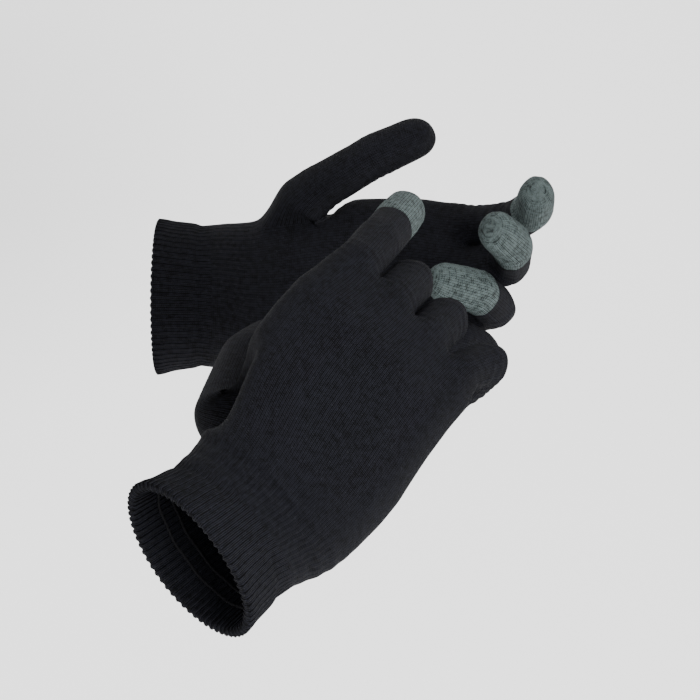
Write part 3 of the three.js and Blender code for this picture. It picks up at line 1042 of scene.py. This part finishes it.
def heel_edge(glove, mouth, heel):
    """The heel's outer edge in the cuff's own axes, at the angles of theta."""
    points = (values_of(heel.data.vertices, "co", 3) - np.array(mouth)) @ np.array(glove.cuff)
    outer = points[:len(points) // 2]
    quads = [list(poly.vertices) for poly in heel.data.polygons]
    quads = [corners for corners in quads if max(corners) < len(outer)]
    edge = [a for a, _, _, _ in border_of(quads) if outer[a][1] < CUFF_LENGTH - 6 * MM]
    edge = outer[edge]
    angle = np.arctan2(edge[:, 2] / (25 * MM), edge[:, 0] / (37.5 * MM))
    order = np.argsort(angle)
    turn = 2 * math.pi
    wrapped = np.concatenate([angle[order] - turn, angle[order], angle[order] + turn])
    columns = [np.interp(theta, wrapped, np.tile(edge[order][:, c], 3)) for c in range(3)]
    return np.stack(columns, axis=1)


print("the cuff has", len(theta), "columns")

# %% Ribbed cuff
def oval_at(at):
    wide, thick = table_at(CUFF_SECTIONS, max(at, 0))
    oval = np.stack([wide * np.cos(theta), np.full(len(theta), at), thick * np.sin(theta)], axis=1)
    out = np.stack([np.cos(theta) / wide, 0 * theta, np.sin(theta) / thick], axis=1)
    return oval, out / np.linalg.norm(out, axis=1)[:, None]


def cuff_ring(edge, at, inset, rib, hem, lip):
    """One ring of the wall, drawn towards the heel's edge as it comes near."""
    share = np.clip(at / HEEL_START, 0, 1) ** 3
    spots, out = oval_at(at)
    spots += (edge - oval_at(HEEL_START)[0]) * share
    wave = 0.35 * MM * np.sin(3 * theta + at / (9 * MM)) * (1 - share)
    spots += out * (hem - inset + rib * ridge + wave)[:, None]
    spots[:, 1] -= lip * (0.5 + 0.5 * ridge) * 0.8
    return spots


def ribbed_cuff(glove, heel):
    mouth = glove.wrist - glove.cuff.col[1] * CUFF_LENGTH
    edge = heel_edge(glove, mouth, heel)
    profile = cuff_profile()
    rings = [cuff_ring(edge, *row[:5]) for row in profile]
    points = np.concatenate(rings) @ np.array(glove.cuff.transposed()) + np.array(mouth)
    faces, uvs, steps = [], [], len(theta)
    for i, row in enumerate(profile):
        j = (i + 1) % len(profile)
        v0, v1 = row[5] / COURSE, profile[j][5] / COURSE
        for k in range(steps):
            m = (k + 1) % steps
            faces.append((i * steps + k, j * steps + k, j * steps + m, i * steps + m))
            u0, u1 = k / RIB_STEPS * 2 + 0.5, (k + 1) / RIB_STEPS * 2 + 0.5
            uvs.append(((u0, v0), (u0, v1), (u1, v1), (u1, v0)))
    mesh = bpy.data.meshes.new(f"{glove.hand}_cuff_ribbing")
    mesh.from_pydata(points.tolist(), [], faces)
    stitch_map(mesh, uvs)
    mesh.polygons.foreach_set("use_smooth", [True] * len(faces))
    mesh.materials.append(knit)
    piece = bpy.data.objects.new(f"{glove.hand}_cuff_ribbing", mesh)
    bpy.context.collection.objects.link(piece)
    face_outwards(piece)
    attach(piece, f"{glove.hand}_cuff")
    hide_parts(f"{glove.hand}_cuff", f"{glove.hand}_cuff_hem")
    return piece


print("its wall is", round(CUFF_WALL / MM, 1), "mm thick")

# %% [markdown]
# Covered elastic threads run inside the ribbing and draw the cuff in. Each is a thin ring
# just inside the wall, made from a torus whose points are moved out to the cuff's oval.

# %% Elastic threads
THREAD_RADIUS, THREAD_INSET = 0.55 * MM, 2.95 * MM
THREAD_HEIGHTS = (13 * MM, 20 * MM)
TORUS_TUBE = 0.02


def elastic_thread(glove, number, at):
    mouth = glove.wrist - glove.cuff.col[1] * CUFF_LENGTH
    wide, thick = table_at(CUFF_SECTIONS, at)
    bpy.ops.mesh.primitive_torus_add(
        major_segments=320, minor_segments=12, major_radius=1, minor_radius=TORUS_TUBE
    )
    ring = bpy.context.active_object
    ring.name = ring.data.name = f"{glove.hand}_elastic_{number}"
    local = values_of(ring.data.vertices, "co", 3)
    angle = np.arctan2(local[:, 1], local[:, 0])
    out = (np.linalg.norm(local[:, :2], axis=1) - 1) / TORUS_TUBE * THREAD_RADIUS
    up = local[:, 2] / TORUS_TUBE * THREAD_RADIUS
    # the thread dips in between the ribs and wavers a little
    inset = THREAD_INSET + 0.18 * MM * np.cos(angle * RIBS)
    x = (wide - inset + out) * np.cos(angle)
    z = (thick - inset + out) * np.sin(angle)
    y = at + up + 0.25 * MM * np.sin(angle * 11)
    points = np.stack([x, y, z], axis=1) @ np.array(glove.cuff).T + np.array(mouth)
    ring.data.vertices.foreach_set("co", points.ravel())
    ring.data.update()
    face_outwards(ring)
    bpy.ops.object.shade_smooth()
    ring.data.materials.append(elastic)
    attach(ring, f"{glove.hand}_cuff")
    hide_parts(f"{glove.hand}_cuff_elastic_{number}")
    return ring


print("a thread is", round(2 * THREAD_RADIUS / MM, 1), "mm thick")

# %% Both gloves
for glove, skin in zip(gloves, skins):
    made = cut_pieces(glove, skin)
    for label, nodes in CAD_FOR.items():
        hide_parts(*[f"{glove.hand}_{n}" for n in nodes])
    cuff = ribbed_cuff(glove, made["heel"])
    print(cuff.name, "has", len(cuff.data.polygons), "faces")
    for number, at in enumerate(THREAD_HEIGHTS, start=1):
        print(elastic_thread(glove, number, at).name, "lies", round(at / MM), "mm up the cuff")

# %% [markdown]
# A pale floor well below the gloves, soft light from large sources, and a camera that looks
# down at the back of the right glove through a long lens.

# %% Floor
bpy.ops.mesh.primitive_plane_add(size=6, location=(0, 0.3, -0.45))
floor = bpy.context.active_object
floor.name = "floor"
pale = bpy.data.materials.new("pale_floor")
pale.use_nodes = True
pale_shader = pale.node_tree.nodes["Principled BSDF"].inputs
pale_shader["Base Color"].default_value = (0.97, 0.97, 0.97, 1)
pale_shader["Roughness"].default_value = 0.9
floor.data.materials.append(pale)

# %% Light
AIM = (-0.02, 0.13, -0.04)


def soft_light(name, spot, size, energy):
    data = bpy.data.lights.new(name, "AREA")
    data.energy, data.size = energy, size
    lamp = bpy.data.objects.new(name, data)
    bpy.context.collection.objects.link(lamp)
    lamp.location = spot
    lamp.rotation_euler = (Vector(AIM) - Vector(spot)).to_track_quat("-Z", "Y").to_euler()
    print(name, "light:", energy, "W from", round((Vector(AIM) - Vector(spot)).length, 2), "m")


soft_light("key", (0.75, -0.15, 1.25), 0.8, 42)
soft_light("fill", (-0.8, 0.9, 1.3), 1.4, 10)
world = bpy.data.worlds.new("studio")
bpy.context.scene.world = world
world.use_nodes = True
world.node_tree.nodes["Background"].inputs["Color"].default_value = (1, 1, 1, 1)
world.node_tree.nodes["Background"].inputs["Strength"].default_value = 1.35

# %% Camera
CAMERA_PLACE = (-0.0329, -0.6211, 1.1616)
CAMERA_TILT, CAMERA_ROLL = math.radians(33), math.radians(54)
lens = bpy.data.cameras.new("camera")
lens.lens, lens.sensor_width = 154.3, 36
camera = bpy.data.objects.new("camera", lens)
bpy.context.collection.objects.link(camera)
turned = Matrix.Rotation(CAMERA_TILT, 4, "X") @ Matrix.Rotation(CAMERA_ROLL, 4, "Z")
camera.matrix_world = Matrix.Translation(CAMERA_PLACE) @ turned
bpy.context.scene.camera = camera
print("the camera is", round((Vector(AIM) - Vector(CAMERA_PLACE)).length, 2), "m away")
